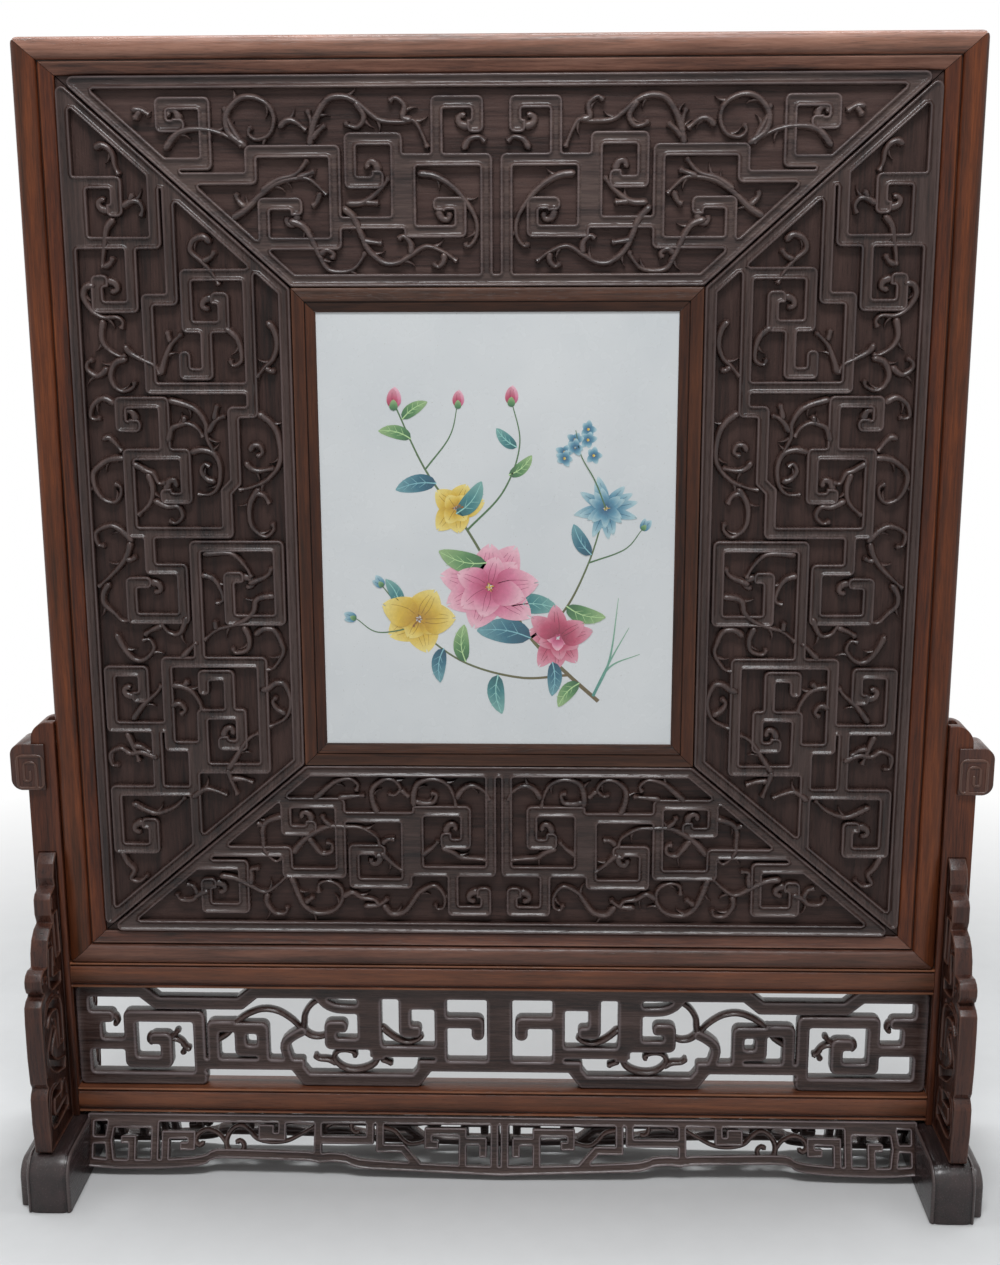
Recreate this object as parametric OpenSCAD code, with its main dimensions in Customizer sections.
// Table screen in dark rosewood: a framed panel with a porcelain plaque and
// four fretted boards, lifting out of the grooved posts of an openwork stand.
// Millimetres. X runs to the viewer's right, Y to the back, Z up from the floor.

/* [Panel] */
// Width of the framed panel
panel_w = 664; // [620:1:720]
// Height of the framed panel
panel_h = 678; // [640:1:740]
// Thickness of the frame members
panel_t = 28; // [27:1:34]
// Face width of the frame's upright stiles
stile_w = 28; // [24:1:32]
// Face width of the frame's rails
rail_w = 25; // [24:1:32]
// Rounding of the panel's four corners
corner_r = 6; // [2:0.5:10]

/* [Plaque] */
// Width of the plaque that shows
plaque_w = 256; // [230:1:280]
// Height of the plaque that shows
plaque_h = 316; // [290:1:340]
// Thickness of the porcelain
plaque_t = 8; // [6:0.5:9]
// Edge of the plaque held in its frame's groove
plaque_hold = 5; // [3:0.5:7]
// Face width of the plaque's frame
plaque_member_w = 17; // [15:1:22]
// Thickness of the plaque's frame
plaque_member_t = 16; // [15:0.5:17]
// Lower edge of the plaque's frame above the panel's lower edge
plaque_z = 160; // [145:1:180]

/* [Carved boards] */
// Depth of the boards' ground behind the panel's front face
ground_depth = 9; // [8.5:0.5:11]
// Height of the carved relief above the ground
relief = 5; // [3:0.5:6]
// Thickness of the boards behind the relief
board_t = 7; // [6:0.5:8]
// Width of the raised border round each board
border_w = 9.5; // [7:0.5:12]
// Width of the fret ribs
rib_w = 8.5; // [6:0.5:10]
// Reach of a board's tongue into its groove
tongue = 6; // [3:0.5:8]
// Thickness of a board's tongue
tongue_t = 4; // [3:0.5:5]
// Thickness of the plain board at the back
back_t = 5; // [4:0.5:6]
// Depth of the back board's face behind the frame's back edges
back_inset = 2; // [1:0.5:3]

/* [Stand] */
// Length of a foot from toe to toe
foot_l = 156; // [140:1:200]
// Width of a foot
foot_w = 41; // [38:1:50]
// Height of a foot
foot_h = 44; // [38:1:56]
// Height of a foot's upright sides below its rounded top
foot_side_h = 26; // [18:1:34]
// Width of the flat crest along a foot
foot_crest_w = 18; // [16:1:26]
// Rounding of the toes
toe_r = 9; // [4:0.5:14]
// Width of the outer cheek that stops short of the toes
cheek_w = 8; // [4:0.5:10]
// How far the outer cheek stops short of the toes
cheek_back = 10; // [4:0.5:16]
// Width of a post across the front
post_w = 22; // [20:1:30]
// Depth of a post from front to back
post_d = 26; // [26:1:36]
// Height of a post above the panel's lower edge
post_rise = 193; // [172:1:240]
// Rounded shoulder on a post's outer top edge
post_round = 13; // [8:1:14]
// How far a post steps in behind its ear
post_step = 4; // [2:0.5:6]
// Height of the lower rail above the feet
rail_lift = 3; // [2:0.5:12]
// Height of the lower rail
lower_rail_h = 21; // [18:1:30]
// Height of the upper rail under the panel
upper_rail_h = 21; // [18:1:30]
// Depth of both rails from front to back
rail_d = 24; // [20:1:25]
// Bead along the rails' edges
rail_bead = 3; // [2:0.5:4]
// Length of the rails' tenons in the posts
rail_tenon = 13; // [8:0.5:15]

/* [Openwork] */
// Height of the fretted panel between the rails
fret_h = 85; // [76:1:110]
// Thickness of the fretted panel
fret_t = 12; // [8:0.5:16]
// Width of the ribs in the fretted panel
fret_rib = 8.5; // [6:0.5:9.5]
// Width of the frame round the fretted panel
fret_frame = 11; // [9:0.5:12]
// Width of the scrolls in the openwork
scroll_w = 5; // [4:0.25:6]
// Slope length of the aprons
apron_h = 45; // [38:0.5:46]
// Thickness of the aprons
apron_t = 8; // [6:0.5:10]
// Lean of the aprons away from upright
apron_lean = 20; // [10:1:24]
// Width of the ribs in the aprons
apron_rib = 6.5; // [5:0.25:7.5]
// Width of the base along the aprons' lower edges
apron_base = 7.5; // [6:0.25:9]
// Thickness of the spandrels
spandrel_t = 13; // [10:0.5:16]
// Height of the spandrels above the feet
spandrel_h = 221; // [190:1:230]
// Reach of the spandrels in front of the posts
spandrel_reach = 59; // [50:0.5:62]
// Width of the pierced slots in the spandrels
spandrel_slot_w = 9; // [6:0.5:10]
// Reach of the aprons', spandrels' and fretted panel's tongues
seat = 4; // [3:0.25:5]

/* [Ears] */
// Height of an ear
ear_h = 36; // [32:1:52]
// Reach of an ear past the outside of its post
ear_reach = 11.5; // [8:0.5:18]
// Overlap of an ear on the post's front and back faces
ear_lap = 14.5; // [8:0.5:18]
// Thickness of an ear's cheeks on the post's faces
ear_cheek = 3; // [2.5:0.5:6]
// Top of an ear below the top of its post
ear_drop = 16; // [6:0.5:20]
// Rounding of an ear's outer corners
ear_r = 8.5; // [4:0.5:10]

/* [Fits] */
// Clearance of glued and seated joints, each side
fit = 0.15; // [0.1:0.05:0.3]
// Clearance of the panel's tongues in the posts' grooves, each side
slide = 0.5; // [0.3:0.05:0.8]
// Gap between the panel's sides and the posts
reveal = 0.6; // [0.5:0.1:0.9]
// Width of the panel's sliding tongues from front to back
runner_t = 9; // [7:0.5:11]
// Reach of the panel's sliding tongues into the posts
runner = 8; // [6:0.5:10]
// Length of the panel's sliding tongues
runner_l = 160; // [120:1:165]

/* [Hidden] */
$fn = 48;
warm_wood = [0.36, 0.19, 0.12];
dark_wood = [0.24, 0.16, 0.14];
stand_wood = [0.27, 0.16, 0.13];
glaze = [0.90, 0.89, 0.84];

// Heights, from the floor up
lower_rail_z = foot_h + rail_lift;
fret_z = lower_rail_z + lower_rail_h;
upper_rail_z = fret_z + fret_h;
panel_z = upper_rail_z + upper_rail_h;
post_top = panel_z + post_rise;
step_z = post_top - ear_drop - ear_h / 2;

// Sideways places
post_x = panel_w / 2 + reveal;
post_mid = post_x + post_w / 2;
foot_x = post_mid - foot_w / 2;

// The panel's sight opening and the plaque's frame, from the panel's lower edge
front_y = -panel_t / 2;
sight_x = panel_w / 2 - stile_w;
sight_lo = rail_w;
sight_hi = panel_h - rail_w;
plq_x = plaque_w / 2 + plaque_member_w;
plq_lo = plaque_z;
plq_hi = plaque_z + plaque_h + 2 * plaque_member_w;
plq_front = 1.5;
plaque_depth = 6;
tongue_y = ground_depth + (board_t - tongue_t) / 2;
back_y = panel_t - back_inset - back_t;

// The frets were set out on a panel of these sizes and follow the real ones
set_x = 304;
set_lo = 26;
set_hi = 654;
set_plq_x = 145;
set_plq_lo = 161;
set_plq_hi = 511;
set_fret_x = 332.6;
set_fret_h = 85;
set_apron_x = 323;
set_apron_h = 45;
set_spandrel_reach = 57;
set_spandrel_h = 221;

// Hidden tenons across the frame's mitres, and how far tongues stop short of a piece's ends
tenon_front = 10;
tenon_t = 8;
tenon_edge = 6;
tenon_shoulder = 9;
tongue_stop = 6;

// Left half of the upper board's fret, [x, z] on the panel
top_frets = [
  [[-250, 595], [-201, 595], [-201, 635], [-231, 635], [-231, 620], [-219, 620], [-219, 625]],
  [[-240, 585], [-170, 585], [-170, 603], [-112, 603], [-112, 541], [-162, 541], [-162, 568],
    [-139, 568], [-139, 560]],
  [[-112, 555], [-69, 555], [-69, 611], [-101, 611], [-101, 582], [-82, 582], [-82, 590]],
  [[-7, 515], [-7, 597], [-60, 597], [-60, 549], [-25, 549], [-25, 568], [-40, 568], [-40, 563]],
  [[-41, 597], [-41, 635], [-13, 635], [-13, 619], [-20, 619]]
];
// Left half of the lower board's fret
bottom_frets = [
  [[-235, 92], [-161, 92], [-161, 75], [-120, 75], [-120, 131], [-161, 131], [-161, 109],
    [-142, 109], [-142, 117]],
  [[-250, 81], [-195, 81], [-195, 46], [-224, 46], [-224, 66], [-216, 66]],
  [[-120, 120], [-70, 120], [-70, 67], [-110, 67], [-110, 94], [-90, 94], [-90, 88]],
  [[-6, 156], [-6, 77], [-61, 77], [-61, 125], [-25, 125], [-25, 99], [-40, 99], [-40, 108]],
  [[-35, 77], [-35, 45], [-10, 45], [-10, 60], [-17, 60]]
];
// The left board's frets, from the top down
side_frets = [
  [[-239, 600], [-239, 542], [-290, 542], [-290, 583], [-265, 583], [-265, 564], [-272, 564]],
  [[-257, 542], [-257, 498], [-282, 498], [-282, 516], [-274, 516]],
  [[-229, 585], [-229, 503], [-247, 503], [-247, 441], [-175, 441], [-175, 520], [-219, 520],
    [-219, 484], [-193, 484], [-193, 504], [-202, 504]],
  [[-206, 484], [-206, 451], [-222, 451], [-222, 463]],
  [[-175, 441], [-175, 424], [-189, 424], [-189, 374], [-196, 367], [-196, 337], [-266, 337],
    [-266, 394], [-225, 394], [-225, 362], [-240, 362], [-240, 369]],
  [[-239, 394], [-239, 431], [-270, 431], [-270, 414], [-260, 414], [-260, 419]],
  [[-254, 337], [-254, 310], [-231, 310], [-231, 273], [-269, 273], [-269, 300], [-254, 300]],
  [[-221, 240], [-221, 327], [-160, 327], [-160, 272], [-197, 272], [-197, 304], [-186, 304]],
  [[-175, 240], [-246, 240], [-246, 190], [-289, 190], [-289, 233], [-264, 233], [-264, 213],
    [-273, 213]],
  [[-246, 190], [-246, 175], [-229, 175], [-229, 90]],
  [[-200, 200], [-200, 230], [-219, 230], [-219, 219]],
  [[-175, 240], [-175, 158], [-221, 158], [-221, 200], [-192, 200], [-192, 176], [-206, 176],
    [-206, 183]],
  [[-256, 190], [-256, 140]],
  [[-238, 140], [-289, 140], [-289, 94], [-262, 94], [-262, 114], [-271, 114]]
];
// Left half of the stand's openwork, [x, height above the lower rail]: its frame, frets and scrolls
stand_frame = [
  [[-326.5, 5.5], [-326.5, 79.5], [-280, 79.5], [-268, 69.5], [-203, 69.5], [-191, 79.5], [0, 79.5]],
  [[-326.5, 5.5], [-236, 5.5]],
  [[-161, 18], [-152, 5.5], [-66, 5.5], [-57, 18]]
];
stand_frets = [
  [[-236, 5.5], [-236, 58], [-290.5, 58], [-290.5, 19], [-262.5, 19], [-262.5, 39], [-271, 39]],
  [[-290.5, 34.5], [-317, 34.5], [-317, 57.5], [-307, 57.5]],
  [[-236, 18], [-161, 18]],
  [[-225, 18], [-225, 50], [-212, 50]],
  [[-186, 18], [-186, 48.5], [-203.5, 48.5], [-203.5, 29.5], [-186, 29.5]],
  [[-165.5, 18], [-165.5, 43]],
  [[-107.5, 80], [-107.5, 36], [-132.5, 36], [-132.5, 50.5], [-124, 50.5]],
  [[-97, 80], [-97, 30], [-46, 30], [-46, 70.5], [-74, 70.5], [-74, 47], [-66, 47]],
  [[-97, 30], [-92, 5.5]],
  [[-46, 55], [-17, 55], [-17, 45]],
  [[-46, 30], [-46, 18]],
  [[-57, 18], [0, 18]],
  [[-5, 18], [-5, 80]]
];
stand_scrolls = [
  [[-223, 37], [-214, 43], [-207, 52], [-198, 59], [-186, 63.5], [-174, 62], [-165, 54], [-164, 44]],
  [[-165, 44], [-158, 52], [-155.5, 61], [-151, 69], [-143, 75], [-134, 79]],
  [[-165, 42], [-150, 42], [-141, 45], [-133, 51]],
  [[-147, 25], [-138, 22], [-131, 17], [-126, 7]],
  [[-148, 25], [-156, 24], [-163, 20]],
  [[-93, 58], [-85, 47], [-75, 41], [-62, 43]]
];
// Left half of an apron, [x, drop below the apron's upper edge]
apron_frets = [
  [[-326, 3.5], [0, 3.5]],
  [[-323.5, 3], [-323.5, 38]],
  [[-306.5, 4], [-309, 21], [-323, 21]],
  [[-309, 21], [-307, 36]],
  [[-303, 8.5], [-272, 8.5]],
  [[-272, 4], [-272, 37]],
  [[-290, 37], [-290, 20.5], [-296, 20.5]],
  [[-263.5, 38], [-263.5, 16.5], [-243, 16.5], [-243, 25], [-249, 25]],
  [[-171.5, 4], [-171.5, 17], [-187, 17], [-187, 11], [-181, 11]],
  [[-143, 4], [-143, 30]],
  [[-143, 19], [-102, 19], [-102, 4]],
  [[-94, 4], [-94, 25], [-76, 25], [-66, 36]],
  [[-29, 39], [-29, 12], [-56, 12], [-56, 22], [-51, 22]],
  [[-29, 19], [-13, 19], [-13, 28]],
  [[-4, 2], [-4, 42]]
];
apron_scrolls = [
  [[-233, 22], [-237, 24.5], [-240, 21], [-237, 15], [-230, 12.5], [-222, 15.5], [-217, 21], [-212, 30]],
  [[-214, 31], [-215.5, 20], [-211, 12], [-204, 9], [-197.5, 13], [-191, 19], [-180, 21.5], [-168, 20.5],
    [-157, 15.5], [-145, 9]],
  [[-203, 30], [-201.5, 24], [-205, 20.5], [-208, 23]],
  [[-137, 9], [-130, 6], [-118, 4]],
  [[-117, 4], [-116.5, 11], [-113, 13.5], [-110, 12]],
  [[-94, 9], [-83, 12], [-77, 18], [-70, 22], [-58, 20]]
];
// Lower edge of an apron from its end to its middle, [x, drop]
apron_edge = [
  [-326, 41.5], [-300, 43], [-266, 42.5], [-240, 40.5], [-230, 38], [-223, 34.5], [-190, 34.5], [-150, 35.5],
  [-142, 37], [-134, 36], [-120, 37], [-110, 40.5], [-70, 43], [-30, 44.5], [0, 45]
];
// Front edge of a spandrel, [reach, height], from its foot to its tip
spandrel_edge = [
  [54, 0], [55, 10], [57, 26], [57, 46], [55, 50], [52, 53], [55, 58], [57, 80], [57, 108],
  [56, 120], [52, 124], [46, 126], [50, 129], [52, 134], [52, 139], [49, 143], [44, 145],
  [36, 144], [35, 154], [31, 163], [24, 169], [17, 171], [20, 178], [20, 190], [17, 194],
  [8, 197], [10, 204], [7, 214], [0, 221]
];
// Pierced places in a spandrel, each a bent slot, [reach, height]
spandrel_slots = [
  [[14, 20], [42, 20], [42, 40], [26, 40]],
  [[14, 54], [30, 60], [42, 74], [32, 88]],
  [[14, 76], [16, 104], [36, 110], [44, 104]],
  [[12, 124], [28, 128], [26, 150]],
  [[9, 146], [10, 172]]
];

// A rib drawn along a path of points, mitred at its corners and square at its ends
function past(path, i, w) =
  i == 0 || i == len(path) - 1 ? w / 2 :
  let (a = path[i] - path[i - 1], b = path[i + 1] - path[i])
  w / 2 * tan(acos(max(-1, min(1, a * b / norm(a) / norm(b)))) / 2);
module rib(path, w) {
  for (i = [0 : len(path) - 2]) {
    d = path[i + 1] - path[i];
    before = past(path, i, w);
    after = past(path, i + 1, w);
    translate(path[i])
      rotate(atan2(d[1], d[0]))
        translate([-before, -w / 2])
          square([norm(d) + before + after, w]);
  }
}

// A smooth curve through a path's points, and a tapered scroll along it
function knot(p, i) = p[max(0, min(len(p) - 1, i))];
function bend(a, b, c, d, t) =
  0.5 * (2 * b + (c - a) * t + (2 * a - 5 * b + 4 * c - d) * t * t + (3 * b - a - 3 * c + d) * t * t * t);
function curve(p, n) = [
  for (i = [0 : len(p) - 2], k = [0 : n - 1])
    bend(knot(p, i - 1), p[i], p[i + 1], knot(p, i + 2), k / n),
  p[len(p) - 1]
];
function side(c, i) =
  let (d = knot(c, i + 1) - knot(c, i - 1))
  [-d[1], d[0]] / norm(d);
function edge(c, w, s) = [
  for (i = [0 : len(c) - 1]) c[i] + side(c, i) * s * w * (0.56 - 0.18 * i / len(c))
];
module scroll(path, w) {
  c = curve(path, 3);
  n = len(c) - 1;
  back = edge(c, w, -1);
  polygon(concat(edge(c, w, 1), [for (i = [n : -1 : 0]) back[i]]));
}

// A shape and its mirror image across the middle
module halves() {
  children();
  mirror([1, 0]) children();
}

// An outline in the front elevation, made solid between two depths
module slab(front, rear) {
  translate([0, rear, 0])
    rotate([90, 0, 0])
      linear_extrude(rear - front) children();
}

// A block between two corners
module block(a, b) {
  translate(a) cube(b - a);
}

// Places on the panel, from where the frets were set out
function along_z(z) = sight_lo + (z - set_lo) * (sight_hi - sight_lo) / (set_hi - set_lo);
function top_place(p) =
  [p[0] * sight_x / set_x, plq_hi + (p[1] - set_plq_hi) * (sight_hi - plq_hi) / (set_hi - set_plq_hi)];
function bottom_place(p) =
  [p[0] * sight_x / set_x, sight_lo + (p[1] - set_lo) * (plq_lo - sight_lo) / (set_plq_lo - set_lo)];
function side_place(p) =
  [-plq_x + (p[0] + set_plq_x) * (sight_x - plq_x) / (set_x - set_plq_x), along_z(p[1])];

// Outlines of the four boards, mitred from the plaque's corners to the frame's
function top_outline() =
  [[-sight_x + fit, sight_hi - fit], [sight_x - fit, sight_hi - fit], [plq_x - fit, plq_hi + fit],
    [-plq_x + fit, plq_hi + fit]];
function bottom_outline() =
  [[-sight_x + fit, sight_lo + fit], [sight_x - fit, sight_lo + fit], [plq_x - fit, plq_lo - fit],
    [-plq_x + fit, plq_lo - fit]];
function side_outline() =
  [[-sight_x + fit, sight_lo + 3 * fit], [-sight_x + fit, sight_hi - 3 * fit], [-plq_x - fit, plq_hi - fit],
    [-plq_x - fit, plq_lo + fit]];

// The raised part of a board: its border and its ribs
module carving(outline, paths, mirrored) {
  offset(delta = 0)
    intersection() {
      polygon(outline);
      union() {
        difference() {
          polygon(outline);
          offset(delta = -border_w) polygon(outline);
        }
        offset(r = 2, $fn = 12)
          offset(delta = -2) {
            for (p = paths) rib(p, rib_w);
            if (mirrored) mirror([1, 0]) for (p = paths) rib(p, rib_w);
          }
      }
    }
}

module carved_board(outline, paths, mirrored) {
  slab(ground_depth, ground_depth + board_t) polygon(outline);
  slab(ground_depth - relief, ground_depth + 1) carving(outline, paths, mirrored);
}

// Moves a panel piece from the panel's own measures to its place in the stand
module on_panel() {
  translate([0, front_y, panel_z]) children();
}

module top_board() {
  run = plq_x - tongue_stop;
  on_panel() {
    carved_board(top_outline(), [for (f = top_frets) [for (p = f) top_place(p)]], true);
    block([-run, tongue_y, sight_hi - 1], [run, tongue_y + tongue_t, sight_hi + tongue]);
    block([-run, tongue_y, plq_hi - tongue + 1], [run, tongue_y + tongue_t, plq_hi + 1]);
  }
}

module bottom_board() {
  run = plq_x - tongue_stop;
  on_panel() {
    carved_board(bottom_outline(), [for (f = bottom_frets) [for (p = f) bottom_place(p)]], true);
    block([-run, tongue_y, sight_lo - tongue], [run, tongue_y + tongue_t, sight_lo + 1]);
    block([-run, tongue_y, plq_lo - 1], [run, tongue_y + tongue_t, plq_lo + tongue - 1]);
  }
}

module side_board() {
  lo = plq_lo + tongue_stop;
  hi = plq_hi - tongue_stop;
  on_panel() {
    carved_board(side_outline(), [for (f = side_frets) [for (p = f) side_place(p)]], false);
    block([-sight_x - tongue, tongue_y, lo], [-sight_x + 1, tongue_y + tongue_t, hi]);
    block([-plq_x - 1, tongue_y, lo], [-plq_x + tongue - 1, tongue_y + tongue_t, hi]);
  }
}

// Section of a frame member: a broad rounded outer bead, a quirk and an inner ogee
// bead at the sight edge. [distance from the outer edge, depth from the front]
function arc(cx, cy, rx, ry, a0, a1, n) =
  [for (i = [0 : n]) let (a = a0 + (a1 - a0) * i / n) [cx + rx * cos(a), cy + ry * sin(a)]];
module member_section(w) {
  bead = w * 0.62;
  polygon(concat(
    [[0, panel_t]],
    arc(bead / 2, 5, bead / 2, 5, 180, 345, 10),
    [[bead, 5.5], [bead + 1.2, 5.5]],
    arc(bead + 1.2, 7.5, w - bead - 1.2, 4.5, 270, 360, 6),
    [[w, panel_t]]
  ));
}

// Grooves along a member's sight edge for the carved boards and the back board
module member_grooves(w) {
  translate([w - tongue - 2 * fit, tongue_y - fit])
    square([tongue + 1, tongue_t + 2 * fit]);
  translate([w - tongue - 2 * fit, back_y - fit])
    square([tongue + 1, back_t + 2 * fit]);
}

// The corner that is rounded off
module corner_cut(x, z) {
  difference() {
    translate([x < 0 ? x - 1 : x - corner_r, z > 0 ? z - corner_r : z - 1])
      square([corner_r + 1, corner_r + 1]);
    translate([x < 0 ? x + corner_r : x - corner_r, z > 0 ? z - corner_r : z + corner_r])
      circle(corner_r);
  }
}

// A tenon of the rails that crosses the mitre into the stiles, and its mortise
module corner_tenon(z, gap) {
  block([-panel_w / 2 + tenon_edge - gap, tenon_front - gap, z + tenon_edge - gap],
    [-panel_w / 2 + stile_w, tenon_front + tenon_t + gap, z + rail_w - tenon_shoulder + gap]);
}

module stile() {
  half = panel_w / 2;
  on_panel() {
    difference() {
      intersection() {
        translate([-half, 0, 0])
          linear_extrude(panel_h)
            difference() {
              member_section(stile_w);
              member_grooves(stile_w);
            }
        slab(-1, panel_t + 1)
          polygon([[-half, fit], [-half, panel_h - fit], [-sight_x, sight_hi - fit], [-sight_x, sight_lo + fit]]);
      }
      slab(-1, panel_t + 1) {
        corner_cut(-half, panel_h);
        corner_cut(-half, 0);
      }
      corner_tenon(0, fit);
      translate([0, 0, panel_h]) mirror([0, 0, 1]) corner_tenon(0, fit);
    }
    block([-half - runner, panel_t / 2 - runner_t / 2, corner_r],
      [-half + 1, panel_t / 2 + runner_t / 2, corner_r + runner_l]);
  }
}

module frame_rail() {
  half = panel_w / 2;
  difference() {
    intersection() {
      translate([-half, 0, panel_h])
        rotate([0, 90, 0])
          linear_extrude(panel_w)
            difference() {
              member_section(rail_w);
              member_grooves(rail_w);
            }
      slab(-1, panel_t + 1)
        polygon([[-half + fit, panel_h], [half - fit, panel_h], [sight_x - fit, sight_hi], [-sight_x + fit, sight_hi]]);
    }
    slab(-1, panel_t + 1) {
      corner_cut(-half, panel_h);
      corner_cut(half, panel_h);
    }
  }
  for (s = [0, 1])
    mirror([s, 0, 0])
      translate([0, 0, panel_h]) mirror([0, 0, 1]) corner_tenon(0, 0);
}

module top_rail() {
  on_panel() frame_rail();
}

module bottom_rail() {
  on_panel() translate([0, 0, panel_h]) mirror([0, 0, 1]) frame_rail();
}

// Section of the plaque's frame, [distance from the outer edge, depth]
module plaque_section() {
  w = plaque_member_w;
  back = plq_front + plaque_member_t;
  difference() {
    polygon(concat(
      [[0, back]],
      [[0, plq_front + 2]],
      arc(2, plq_front + 2, 2, 2, 180, 270, 4),
      arc(w - 6, plq_front + 3.5, 6, 3.5, 270, 360, 6),
      [[w, back]]
    ));
    translate([-1, tongue_y - fit])
      square([tongue + 2 * fit, tongue_t + 2 * fit]);
    translate([w - plaque_hold - fit, plaque_depth - fit])
      square([plaque_hold + 1, plaque_t + 2 * fit]);
  }
}

module plaque_rail() {
  w = plaque_member_w;
  intersection() {
    translate([-plq_x, 0, plq_hi])
      rotate([0, 90, 0])
        linear_extrude(2 * plq_x) plaque_section();
    slab(0, panel_t)
      polygon([[-plq_x + fit, plq_hi], [plq_x - fit, plq_hi], [plq_x - w - fit, plq_hi - w], [-plq_x + w + fit, plq_hi - w]]);
  }
}

module plaque_stile() {
  w = plaque_member_w;
  intersection() {
    translate([-plq_x, 0, plq_lo])
      linear_extrude(plq_hi - plq_lo) plaque_section();
    slab(0, panel_t)
      polygon([[-plq_x, plq_lo + fit], [-plq_x, plq_hi - fit], [-plq_x + w, plq_hi - w - fit], [-plq_x + w, plq_lo + w + fit]]);
  }
}

module plaque() {
  hx = plaque_w / 2 + plaque_hold - fit;
  lo = plq_lo + plaque_member_w - plaque_hold + fit;
  hi = plq_hi - plaque_member_w + plaque_hold - fit;
  on_panel() block([-hx, plaque_depth, lo], [hx, plaque_depth + plaque_t, hi]);
}

module back_sheet() {
  hx = sight_x + tongue;
  on_panel()
    block([-hx, back_y, sight_lo - tongue], [hx, back_y + back_t, sight_hi + tongue]);
}

// Half of a foot's cross-section is a plain side with an elliptical shoulder
module foot_section() {
  h = foot_w / 2;
  c = foot_crest_w / 2;
  rise = foot_h - foot_side_h;
  polygon(concat(
    [[-h, 0], [h, 0]],
    arc(c, foot_side_h, h - c, rise, 0, 90, 8),
    arc(-c, foot_side_h, h - c, rise, 90, 180, 8)
  ));
}

// Toe to toe from the side, with rounded upper toes
module foot_side() {
  l = foot_l / 2;
  polygon(concat(
    [[-l, 0], [l, 0]],
    arc(l - toe_r, foot_h - toe_r, toe_r, toe_r, 0, 90, 6),
    arc(-l + toe_r, foot_h - toe_r, toe_r, toe_r, 90, 180, 6)
  ));
}

module foot_plan() {
  l = foot_l / 2;
  h = foot_w / 2;
  polygon([
    [-h, -l + 5], [-h + 5, -l], [h - cheek_w - 3, -l], [h - cheek_w, -l + 3], [h - cheek_w, -l + cheek_back],
    [h, -l + cheek_back], [h, l - cheek_back], [h - cheek_w, l - cheek_back], [h - cheek_w, l - 3],
    [h - cheek_w - 3, l], [-h + 5, l], [-h, l - 5]
  ]);
}

// The right foot
module foot() {
  difference() {
    union() {
      translate([post_mid, 0, 0])
        intersection() {
          translate([0, foot_l / 2, 0])
            rotate([90, 0, 0])
              linear_extrude(foot_l) foot_section();
          translate([-foot_w / 2 - 1, 0, 0])
            rotate([90, 0, 90])
              linear_extrude(foot_w + 2) foot_side();
          linear_extrude(foot_h) foot_plan();
        }
      block([foot_x + 2, -post_d / 2 - 3, 0], [foot_x + foot_w - 2, post_d / 2 + 3, foot_h]);
    }
    post_tenon(fit);
    for (s = [0, 1]) mirror([0, s, 0]) {
      spandrel_blank(fit);
      apron_blank(fit);
    }
  }
}

// The tenon under a post, also the mortise in its foot
module post_tenon(gap) {
  block([post_mid - post_w / 4 - gap, -post_d / 4 - gap, foot_h * 0.4 - gap],
    [post_mid + post_w / 4 + gap, post_d / 4 + gap, foot_h + 1]);
}

// Tenons at the ends of a rail, also the mortises in the posts
module rail_tenons(z, h, gap) {
  reach = post_x + rail_tenon + gap;
  block([-reach, -rail_d / 4 - gap, z + h / 4 - gap], [reach, rail_d / 4 + gap, z + 3 * h / 4 + gap]);
}

// The right post
module post() {
  outer = post_x + post_w;
  difference() {
    union() {
      difference() {
        block([post_x, -post_d / 2, foot_h + fit], [outer, post_d / 2, post_top]);
        slab(-post_d, post_d)
          translate([outer - post_step - post_round, 0])
            difference() {
              translate([0, step_z]) square([post_round + post_step + 1, post_top - step_z + 1]);
              square([post_round, post_top - post_round]);
              translate([0, post_top - post_round]) circle(post_round);
            }
      }
      post_tenon(0);
    }
    block([post_x - 1, -runner_t / 2 - slide, panel_z],
      [post_x - reveal + runner + slide, runner_t / 2 + slide, post_top + 1]);
    rail_tenons(lower_rail_z, lower_rail_h, fit);
    rail_tenons(upper_rail_z, upper_rail_h, fit);
    block([post_x - 1, -fret_t / 2 - fit, fret_z], [post_x + seat + fit, fret_t / 2 + fit, upper_rail_z]);
    for (s = [0, 1]) mirror([0, s, 0]) spandrel_blank(fit);
  }
}

// Section of a rail: a flat front between two beads, alike at the back
module rail_section(h) {
  d = rail_d / 2;
  b = rail_bead;
  polygon(concat(
    arc(-d + b / 2, b / 2, b / 2, b / 2, 90, 270, 6),
    arc(d - b / 2, b / 2, b / 2, b / 2, -90, 90, 6),
    [[d - 1, b], [d - 1, h - b]],
    arc(d - b / 2, h - b / 2, b / 2, b / 2, -90, 90, 6),
    arc(-d + b / 2, h - b / 2, b / 2, b / 2, 90, 270, 6),
    [[-d + 1, h - b], [-d + 1, b]]
  ));
}

module rail(z, h) {
  translate([-post_x + fit, 0, z])
    rotate([90, 0, 90])
      linear_extrude(2 * post_x - 2 * fit) rail_section(h);
  rail_tenons(z, h, 0);
}

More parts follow.
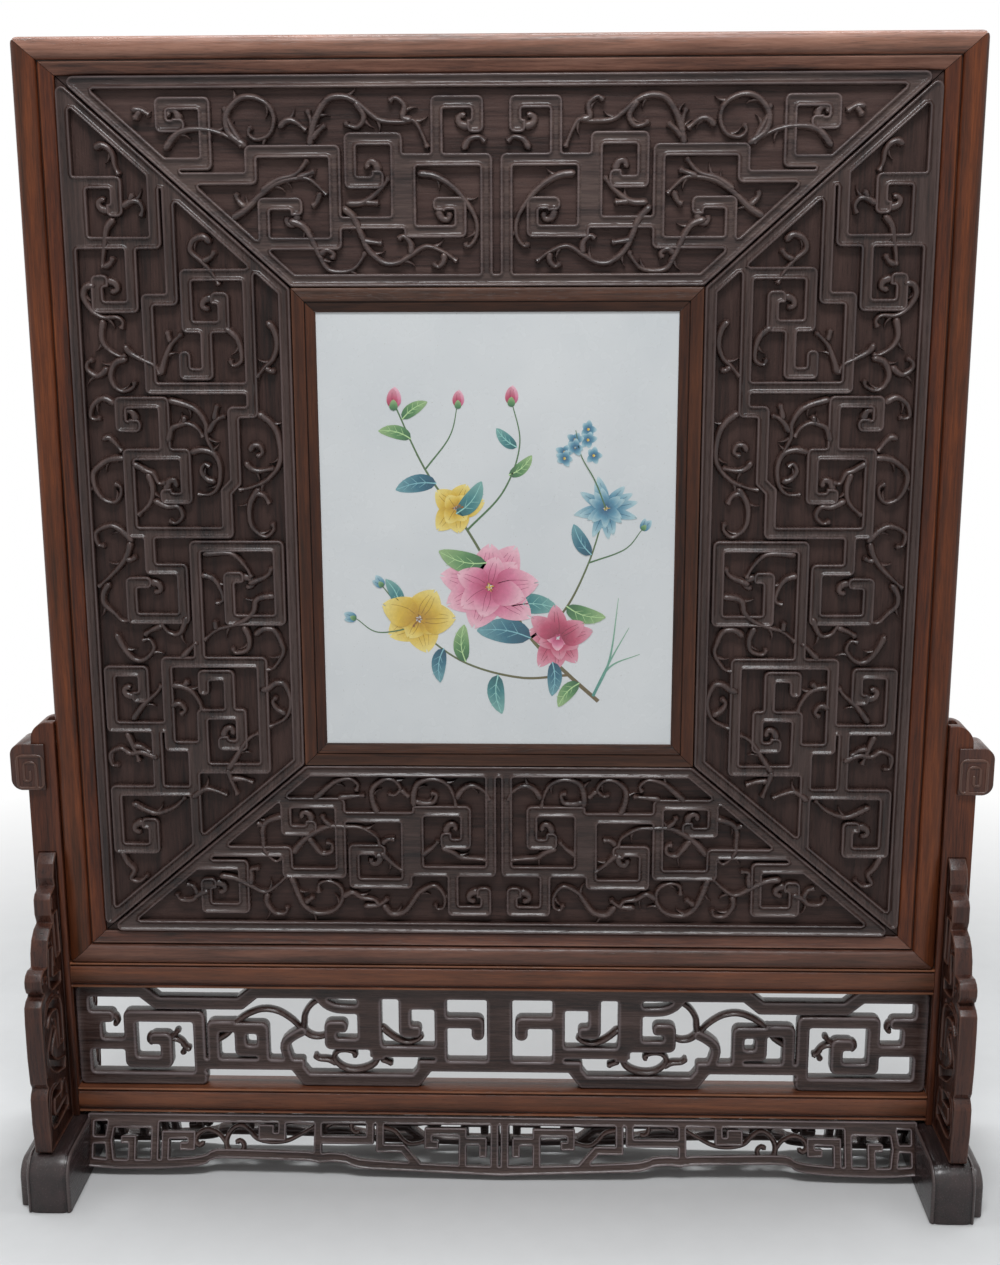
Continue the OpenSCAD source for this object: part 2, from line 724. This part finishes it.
// The pierced panel between the rails, with its ends in the posts
module fret_panel() {
  sx = post_x / set_fret_x;
  sz = fret_h / set_fret_h;
  reach = post_x + seat;
  translate([0, 0, fret_z])
    slab(-fret_t / 2, fret_t / 2)
      offset(delta = 0)
        intersection() {
          translate([-reach, fit]) square([2 * reach, fret_h - 2 * fit]);
          union() {
            halves() {
              offset(r = 2, $fn = 12)
                offset(delta = -2) {
                  for (f = stand_frame) rib([for (p = f) [p[0] * sx, p[1] * sz]], fret_frame);
                  for (f = stand_frets) rib([for (p = f) [p[0] * sx, p[1] * sz]], fret_rib);
                }
              for (f = stand_scrolls) scroll([for (p = f) [p[0] * sx, p[1] * sz]], scroll_w);
              translate([-reach, fit]) square([seat + fret_rib, fret_h - 2 * fit]);
            }
          }
        }
}

// An apron in its own plane: x, and drop below the upper edge as negative height
module apron_plan(reach) {
  sx = foot_x / set_apron_x;
  sz = apron_h / set_apron_h;
  function at(p) = [p[0] * sx, -p[1] * sz];
  edge_pts = [for (p = apron_edge) at(p)];
  last = len(edge_pts) - 1;
  offset(delta = 0)
    intersection() {
      polygon(concat(
        [[-reach, 0], [-reach, edge_pts[0][1]]],
        [for (i = [1 : last]) edge_pts[i]],
        [for (i = [last - 1 : -1 : 1]) [-edge_pts[i][0], edge_pts[i][1]]],
        [[reach, edge_pts[0][1]], [reach, 0]]
      ));
      halves() {
        offset(r = 1.5, $fn = 12)
          offset(delta = -1.5) {
            for (f = apron_frets) rib([for (p = f) at(p)], apron_rib);
            rib([for (p = edge_pts) p + [0, apron_base / 2]], apron_base);
          }
        for (f = apron_scrolls) scroll([for (p = f) at(p)], scroll_w * 0.8);
        translate([-reach, edge_pts[0][1]]) square([seat + apron_rib, -edge_pts[0][1]]);
      }
    }
}

// Places an apron under the front edge of the lower rail, leaning forward as it falls
module apron_place() {
  translate([0, -rail_d / 2 + apron_t / 2, lower_rail_z - fit])
    rotate([-apron_lean, 0, 0])
      translate([0, 0, -apron_t / 2 * tan(apron_lean)])
        children();
}

module apron() {
  apron_place()
    slab(-apron_t / 2, apron_t / 2) apron_plan(foot_x + seat);
}

// The room for an apron's end in a foot
module apron_blank(gap) {
  apron_place()
    block([foot_x - 1, -apron_t / 2 - gap, -apron_h - gap], [foot_x + seat + gap, apron_t / 2 + gap, 1]);
}

// A spandrel's outline from the post's face outward
function spandrel_at(p) = [p[0] * spandrel_reach / set_spandrel_reach, p[1] * spandrel_h / set_spandrel_h];
module spandrel_plan() {
  n = len(spandrel_edge) - 1;
  offset(delta = 0)
    difference() {
      polygon(concat(
        [[-seat, 0], [-seat, -seat], [spandrel_at(spandrel_edge[0])[0] - tongue_stop, -seat],
          [spandrel_at(spandrel_edge[0])[0] - tongue_stop, 0]],
        [for (i = [0 : n]) spandrel_at(spandrel_edge[i])],
        [[-seat, spandrel_at(spandrel_edge[n])[1]]]
      ));
      for (s = spandrel_slots) scroll([for (p = s) spandrel_at(p)], spandrel_slot_w);
    }
}

// Stands an outline on the foot in front of the right post
module spandrel_place(t) {
  translate([post_mid - t / 2, -post_d / 2, foot_h])
    rotate([90, 0, -90])
      mirror([0, 0, 1])
        linear_extrude(t) children();
}

module spandrel() {
  spandrel_place(spandrel_t) spandrel_plan();
}

// The room for a spandrel's tongues in its post and its foot
module spandrel_blank(gap) {
  w = spandrel_t / 2 + gap;
  reach = spandrel_at(spandrel_edge[0])[0] - tongue_stop;
  block([post_mid - w, -post_d / 2 - 1, foot_h - 1], [post_mid + w, -post_d / 2 + seat + gap, foot_h + spandrel_h + gap]);
  block([post_mid - w, -post_d / 2 - reach - gap, foot_h - seat - gap],
    [post_mid + w, -post_d / 2 + seat + gap, foot_h + 1]);
}

// The right ear: a carved block that clasps its post and sits on the step in the post's outer face
module ear() {
  outer = post_x + post_w;
  top = post_top - ear_drop;
  difference() {
    slab(-post_d / 2 - ear_cheek, post_d / 2 + ear_cheek)
      difference() {
        translate([outer - ear_lap, top - ear_h]) square([ear_lap + ear_reach, ear_h]);
        translate([outer + ear_reach - ear_r, top - ear_r])
          difference() {
            square(ear_r + 1);
            circle(ear_r);
          }
        translate([outer + ear_reach - ear_r, top - ear_h + ear_r])
          mirror([0, 1])
            difference() {
              square(ear_r + 1);
              circle(ear_r);
            }
      }
    block([post_x - 1, -post_d / 2 - fit, post_top - 2 * ear_drop - ear_h],
      [outer + fit, post_d / 2 + fit, step_z + fit]);
    block([post_x - 1, -post_d / 2 - fit, step_z],
      [outer - post_step + fit, post_d / 2 + fit, post_top + 1]);
  }
}

module panel_left_stile() { color(warm_wood) stile(); }
module panel_right_stile() { color(warm_wood) mirror([1, 0, 0]) stile(); }
module panel_top_rail() { color(warm_wood) top_rail(); }
module panel_bottom_rail() { color(warm_wood) bottom_rail(); }
module carved_board_top() { color(dark_wood) top_board(); }
module carved_board_bottom() { color(dark_wood) bottom_board(); }
module carved_board_left() { color(dark_wood) side_board(); }
module carved_board_right() { color(dark_wood) mirror([1, 0, 0]) side_board(); }
module plaque_frame_top() { color(warm_wood) on_panel() plaque_rail(); }
module plaque_frame_bottom() {
  color(warm_wood)
    on_panel() translate([0, 0, plq_lo + plq_hi]) mirror([0, 0, 1]) plaque_rail();
}
module plaque_frame_left() { color(warm_wood) on_panel() plaque_stile(); }
module plaque_frame_right() { color(warm_wood) on_panel() mirror([1, 0, 0]) plaque_stile(); }
module porcelain_plaque() { color(glaze) plaque(); }
module back_board() { color(dark_wood) back_sheet(); }
module left_foot() { color(stand_wood) mirror([1, 0, 0]) foot(); }
module right_foot() { color(stand_wood) foot(); }
module left_post() { color(warm_wood) mirror([1, 0, 0]) post(); }
module right_post() { color(warm_wood) post(); }
module left_ear() { color(stand_wood) mirror([1, 0, 0]) ear(); }
module right_ear() { color(stand_wood) ear(); }
module spandrel_front_left() { color(stand_wood) mirror([1, 0, 0]) spandrel(); }
module spandrel_front_right() { color(stand_wood) spandrel(); }
module spandrel_back_left() { color(stand_wood) mirror([1, 0, 0]) mirror([0, 1, 0]) spandrel(); }
module spandrel_back_right() { color(stand_wood) mirror([0, 1, 0]) spandrel(); }
module upper_rail() { color(warm_wood) rail(upper_rail_z, upper_rail_h); }
module lower_rail() { color(warm_wood) rail(lower_rail_z, lower_rail_h); }
module fretwork_panel() { color(dark_wood) fret_panel(); }
module apron_front() { color(dark_wood) apron(); }
module apron_back() { color(dark_wood) mirror([0, 1, 0]) apron(); }

panel_left_stile();
panel_right_stile();
panel_top_rail();
panel_bottom_rail();
carved_board_top();
carved_board_bottom();
carved_board_left();
carved_board_right();
plaque_frame_top();
plaque_frame_bottom();
plaque_frame_left();
plaque_frame_right();
porcelain_plaque();
back_board();
left_foot();
right_foot();
left_post();
right_post();
left_ear();
right_ear();
spandrel_front_left();
spandrel_front_right();
spandrel_back_left();
spandrel_back_right();
upper_rail();
lower_rail();
fretwork_panel();
apron_front();
apron_back();
